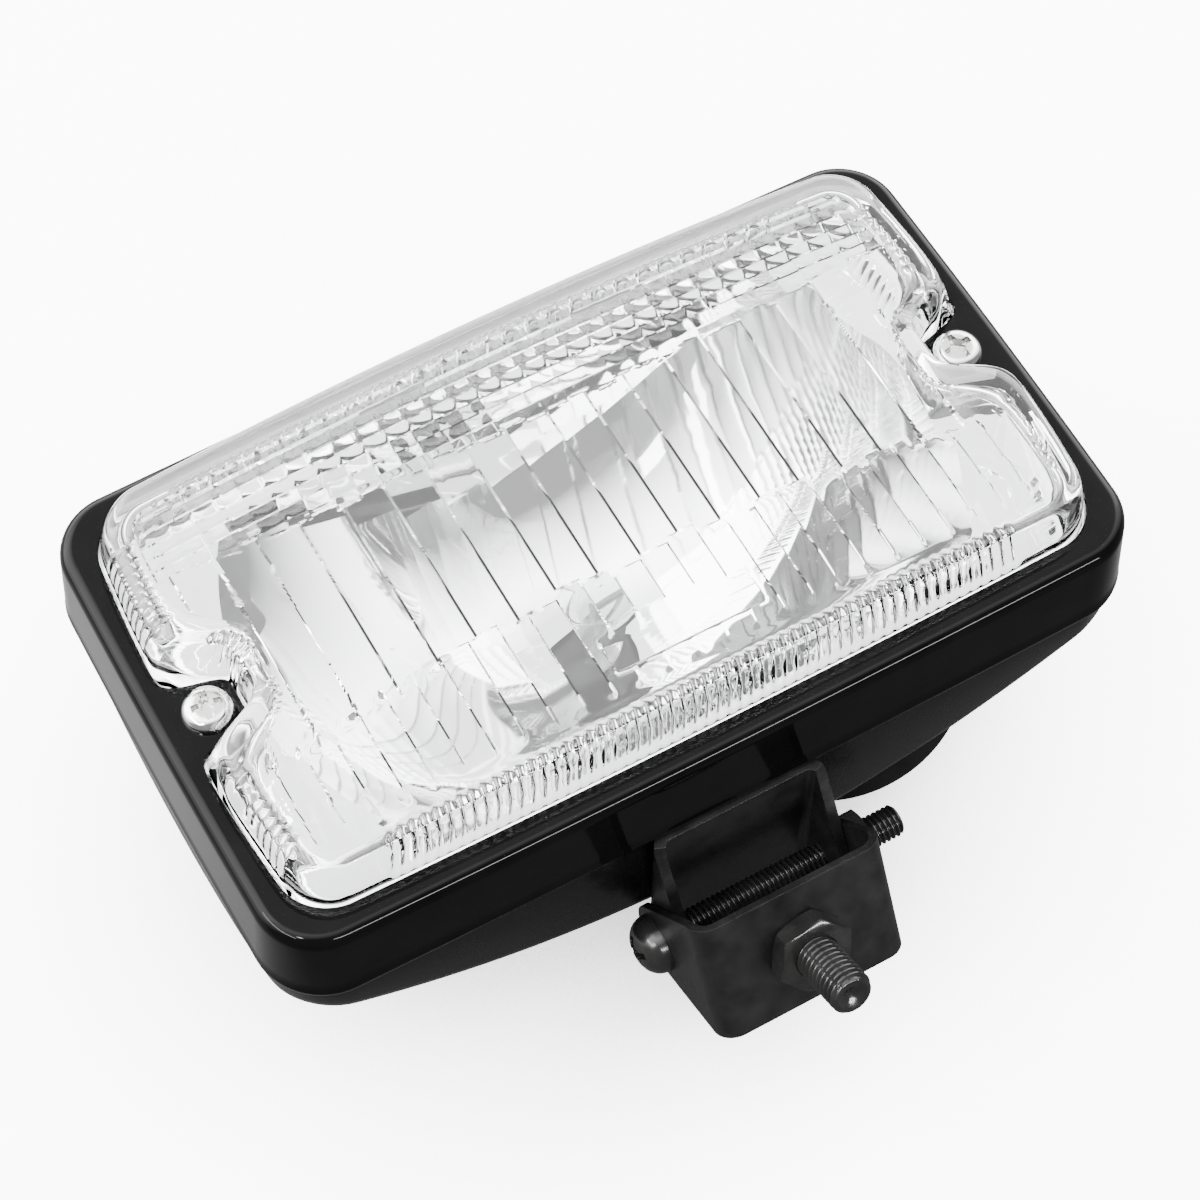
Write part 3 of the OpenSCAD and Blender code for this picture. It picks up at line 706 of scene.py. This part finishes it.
def hex_mesh(across, height, bore, turn=0.0, chamfer_low=True):
    """Hexagon with a bore, chamfered by a cone above and, unless chamfer_low is off, below."""
    angle = np.linspace(0, 2 * math.pi, HEX_SIDES, endpoint=False)
    local = np.mod(angle + math.pi / 6, math.pi / 3) - math.pi / 6
    reach = across / 2 / np.cos(local)
    reach = np.minimum(reach, across / 2 / math.cos(math.pi / 6) - HEX_BLUNT)
    flat = across / 2 * HEX_FACE
    drop = (reach - flat) * HEX_SLOPE
    turned = angle + math.radians(turn)
    rings = [
        circle(turned, radius, z) for radius, z in (
            (bore, height - 0.7), (bore + 0.7, height), (flat, height), (reach, height - drop),
            (reach, drop if chamfer_low else 0.05), (flat, 0.0), (bore + 0.7, 0.0), (bore, 0.7),
        )
    ]
    return join_rings(rings, close_rings=True)


def head_mesh(radius, height, power, slot_half, slot_reach, deep):
    """Pan head with a cross recess, flat at z 0 and rising to z height."""
    angle = np.linspace(0, 2 * math.pi, HEAD_SIDES, endpoint=False)
    rings = []
    for f in np.concatenate([np.linspace(0.02, 0.72, 44), np.linspace(0.74, 1, 16)]):
        rho = radius * f
        x, y = np.abs(rho * np.cos(angle)), np.abs(rho * np.sin(angle))
        small, large = np.minimum(x, y), np.maximum(x, y)
        arm = np.clip((slot_half - small) / 0.16, 0, 1) * np.clip((slot_reach - large) / 0.45, 0, 1)
        heart = np.clip((slot_reach * 0.72 - (small + large)) / 0.3, 0, 1)
        top = height * (1 - f**power) ** (1 / 2.2)
        rings.append(circle(angle, rho, np.maximum(top - deep * np.maximum(0.75 * arm, heart), 0)))
    return join_rings(rings, start_cap=True, end_cap=True)


def place(at, axis, spin=0.0):
    """Matrix that takes +Z to an axis at a point given in millimetres, after a spin in degrees."""
    lean = Vector(axis).to_track_quat("Z", "Y").to_matrix().to_4x4()
    return Matrix.Translation(Vector(at) * MM) @ lean @ Matrix.Rotation(math.radians(spin), 4, "Z")


def build_fasteners():
    verts, faces = thread_mesh(4.0, 1.25, -16.4, 1.4, 0.9, dimple=2.6)
    piece("stud_thread", verts, faces, "anchor", "black_steel", HERE, 50, ["mounting_stud"])
    verts, faces = hex_mesh(13, 5.2, 0.4, chamfer_low=False)
    piece("stud_head", verts, faces, "anchor", "black_steel", place((0, 0, 1.6), (0, 0, 1)), 35)
    verts, faces = hex_mesh(13, 4.3, 3.45, 18)
    at = place((0, 0, -4.35), (0, 0, 1))
    piece("stud_nut", verts, faces, "anchor", "black_steel", at, 35, ["mounting_nut"])
    verts, faces = thread_mesh(3.0, 1.0, -30.45, 18.4, 0.6)
    at = place((0, BOLT_Y, BOLT_Z), (-1, 0, 0))
    piece("pivot_thread", verts, faces, "foot", "black_steel", at, 50, ["pivot_bolt"])
    verts, faces = hex_mesh(10, 5.0, 2.5, 12)
    at = place((18.55, BOLT_Y, BOLT_Z), (1, 0, 0))
    piece("pivot_hex", verts, faces, "foot", "black_steel", at, 35, ["pivot_nut"])
    verts, faces = head_mesh(5.5, 4.6, 2.4, 0.62, 3.2, 2.6)
    at = place((-18.55, BOLT_Y, BOLT_Z), (-1, 0, 0), 20)
    piece("pivot_head", verts, faces, "foot", "black_steel", at, 35)
    for name, side in (("screw_left", -1), ("screw_right", 1)):
        verts, faces = head_mesh(4.5, 2.7, 3.4, 0.62, 2.7, 2.0)
        at = LAMP @ place((side * 73.5, 0.0, 0), (0, -1, 0), 8 * side)
        piece(name, verts, faces, "lamp", "screw_chrome", at, 30, ["bezel_screws"])


build_fasteners()


# Fittings that keep their CAD shape and only get a material

for node, slot_name in (
    ("screw_clips", "spring_steel"), ("lens_gasket", "seal_silicone"), ("rear_cap", "cap_black"),
    ("cable_grommet", "seal_rubber"), ("bulb_glass", "bulb_quartz"), ("bulb_filament", "tungsten"),
    ("bulb_base", "black_steel"), ("bulb_insulator", "ceramic"), ("bulb_clip", "spring_steel"),
    ("clip_screw", "spring_steel"), ("bulb_lead", "lead_blue"), ("lead_terminal", "nylon"),
    ("earth_tab", "spring_steel"),
):
    for material_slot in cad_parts[node].material_slots:
        material_slot.material = MATS[slot_name]


# Stage: a pale floor close behind the lamp at rest. It doesn't move with the lamp, so at most limit poses the
# lamp goes through it.

FLOOR_HALF, FLOOR_Y = 3.0, 0.071
# Reach of the ambient occlusion that paints the floor's contact shadow.
SHADOW_REACH = 0.075


def link(tree, source, node, name):
    tree.links.new(source, node.inputs[name])


def floor_tone_and_painted_shade(tree):
    """Pale grey with a painted shade that darkens it towards the lamp's bottom, in metres of the lamp's Z,
    standing in for the shadow under the lamp.
    """
    pale = colour_mix(tree, noise(tree, 3, 2.0), (0.24, 0.24, 0.24), (0.27, 0.27, 0.27))
    coords = tree.nodes.new("ShaderNodeTexCoord")
    split = tree.nodes.new("ShaderNodeSeparateXYZ")
    link(tree, coords.outputs["Object"], split, 0)
    # Painted shade: the floor's colour falls to dark grey below the lamp, where its shadow would lie.
    rise = ramp(tree, split.outputs["Z"], 0, 1, -0.07, 0.03)
    tone = tree.nodes.new("ShaderNodeMix")
    tone.data_type = "RGBA"
    tone.blend_type = "MULTIPLY"
    socket(tone, MIX_FACTOR, 1.0)
    link(tree, pale, tone, MIX_FIRST)
    link(tree, colour_mix(tree, rise, (0.04, 0.04, 0.04), (0.5, 0.5, 0.5)), tone, MIX_SECOND)
    return tone.outputs[MIX_COLOUR]


def floor_material():
    """Dull floor that also glows to the camera, less where something is near, which paints a contact shadow
    there, and is clear from behind.
    """
    mat, tree, shader = new_material("floor_pale")
    # The floor's colour carries the painted shade under the lamp.
    link(tree, floor_tone_and_painted_shade(tree), shader, "Base Color")
    socket(shader, "Roughness", 0.7)
    # Painted contact shadow: ambient occlusion dims the floor's glow near the lamp.
    shade = tree.nodes.new("ShaderNodeAmbientOcclusion")
    shade.samples = 8
    socket(shade, "Distance", SHADOW_REACH)
    glow = tree.nodes.new("ShaderNodeEmission")
    link(tree, ramp(tree, shade.outputs["AO"], 1.0, 10.0, 0.3, 0.86), glow, "Strength")
    both = tree.nodes.new("ShaderNodeAddShader")
    link(tree, shader.outputs[0], both, 0)
    link(tree, glow.outputs[0], both, 1)
    ray = tree.nodes.new("ShaderNodeLightPath")
    seen = tree.nodes.new("ShaderNodeMixShader")
    link(tree, ray.outputs["Is Camera Ray"], seen, 0)
    link(tree, shader.outputs[0], seen, 1)
    link(tree, both.outputs[0], seen, 2)
    side = tree.nodes.new("ShaderNodeNewGeometry")
    clear = tree.nodes.new("ShaderNodeBsdfTransparent")
    mix = tree.nodes.new("ShaderNodeMixShader")
    link(tree, side.outputs["Backfacing"], mix, 0)
    link(tree, seen.outputs[0], mix, 1)
    link(tree, clear.outputs[0], mix, 2)
    link(tree, mix.outputs[0], tree.nodes["Material Output"], "Surface")
    return mat


def build_stage():
    mesh = bpy.data.meshes.new("floor")
    s, y = FLOOR_HALF, FLOOR_Y
    mesh.from_pydata([(-s, y, -s), (s, y, -s), (s, y, s), (-s, y, s)], [], [(0, 1, 2, 3)])
    mesh.materials.append(floor_material())
    floor = bpy.data.objects.new("floor", mesh)
    bpy.context.scene.collection.objects.link(floor)
    floor.matrix_world = LAMP


# Light. Places are in the lamp's frame, in millimetres; sizes too; powers in watts.

BACKDROP = 6.0
AIM = (0, 10, 0)
AREA_LIGHTS = (
    ("top_left", (-520, -560, 480), AIM, (800, 800), 12),
    ("right", (760, -300, 330), AIM, (420, 520), 2.0),
    ("low", (150, -330, -700), AIM, (700, 36), 12),
    ("edge", (-650, -500, -60), AIM, (36, 600), 7),
    ("spark", (-480, -560, -300), (0, 30, -60), (70, 70), 2.5),
)
ABOVE_FRONT = (0.1, -0.6, 0.8)
MIRRORED_BY_LENS = (0.247, -0.869, 0.4286)


def area_light(name, at, aim, size, watts):
    light = bpy.data.lights.new(name, "AREA")
    light.shape = "RECTANGLE"
    light.size, light.size_y = size[0] * MM, size[1] * MM
    light.energy = watts
    obj = bpy.data.objects.new(name, light)
    bpy.context.scene.collection.objects.link(obj)
    at, aim = Vector(at) * MM, Vector(aim) * MM
    turn = (at - aim).to_track_quat("Z", "Y").to_matrix().to_4x4()
    obj.matrix_world = LAMP @ Matrix.Translation(at) @ turn


def lobe(tree, coords, direction, low, high, start, end):
    """Low to high as the view turns towards a direction, between two cosines."""
    facing = tree.nodes.new("ShaderNodeVectorMath")
    facing.operation = "DOT_PRODUCT"
    socket(facing, 1, (LAMP.to_3x3() @ Vector(direction)).normalized())
    link(tree, coords.outputs["Generated"], facing, 0)
    return ramp(tree, facing.outputs["Value"], low, high, start, end)


def build_light():
    world = bpy.data.worlds.new("studio")
    world.use_nodes = True
    bpy.context.scene.world = world
    tree = world.node_tree
    background = tree.nodes["Background"]
    socket(background, "Color", (1, 1, 1, 1))
    coords = tree.nodes.new("ShaderNodeTexCoord")
    strength = tree.nodes.new("ShaderNodeMath")
    strength.operation = "MULTIPLY"
    link(tree, lobe(tree, coords, ABOVE_FRONT, 0.45, 12.0, 0.0, 0.5), strength, 0)
    # Dimmed where the lens's face mirrors it to the camera, which would veil the reflector.
    link(tree, lobe(tree, coords, MIRRORED_BY_LENS, 1.0, 0.33, 0.75, 0.9), strength, 1)
    # The camera itself sees one plain level.
    ray = tree.nodes.new("ShaderNodeLightPath")
    backdrop = tree.nodes.new("ShaderNodeMix")
    link(tree, ray.outputs["Is Camera Ray"], backdrop, 0)
    link(tree, strength.outputs[0], backdrop, 2)
    socket(backdrop, 3, BACKDROP)
    link(tree, backdrop.outputs[0], background, "Strength")
    for row in AREA_LIGHTS:
        area_light(*row)


build_stage()
build_light()


# Camera, as the photograph was taken: in front, to the left and below the lens. Axes in the lamp's frame.

VIEW_RIGHT = Vector((0.87185, -0.00674, -0.48972))
VIEW_DOWN = Vector((-0.42266, 0.49486, -0.75926))
VIEW_AHEAD = Vector((0.24746, 0.86895, 0.42859))
VIEW_FROM = Vector((-142.16, -477.21, -248.42)) * MM


def build_camera():
    turn = Matrix((VIEW_RIGHT, -VIEW_DOWN, -VIEW_AHEAD)).transposed().to_4x4()
    data = bpy.data.cameras.new("camera")
    data.sensor_width = 36
    data.lens = 97.36
    data.clip_start = 0.01
    cam = bpy.data.objects.new("camera", data)
    bpy.context.scene.collection.objects.link(cam)
    cam.matrix_world = LAMP @ Matrix.Translation(VIEW_FROM) @ turn
    bpy.context.scene.camera = cam


build_camera()
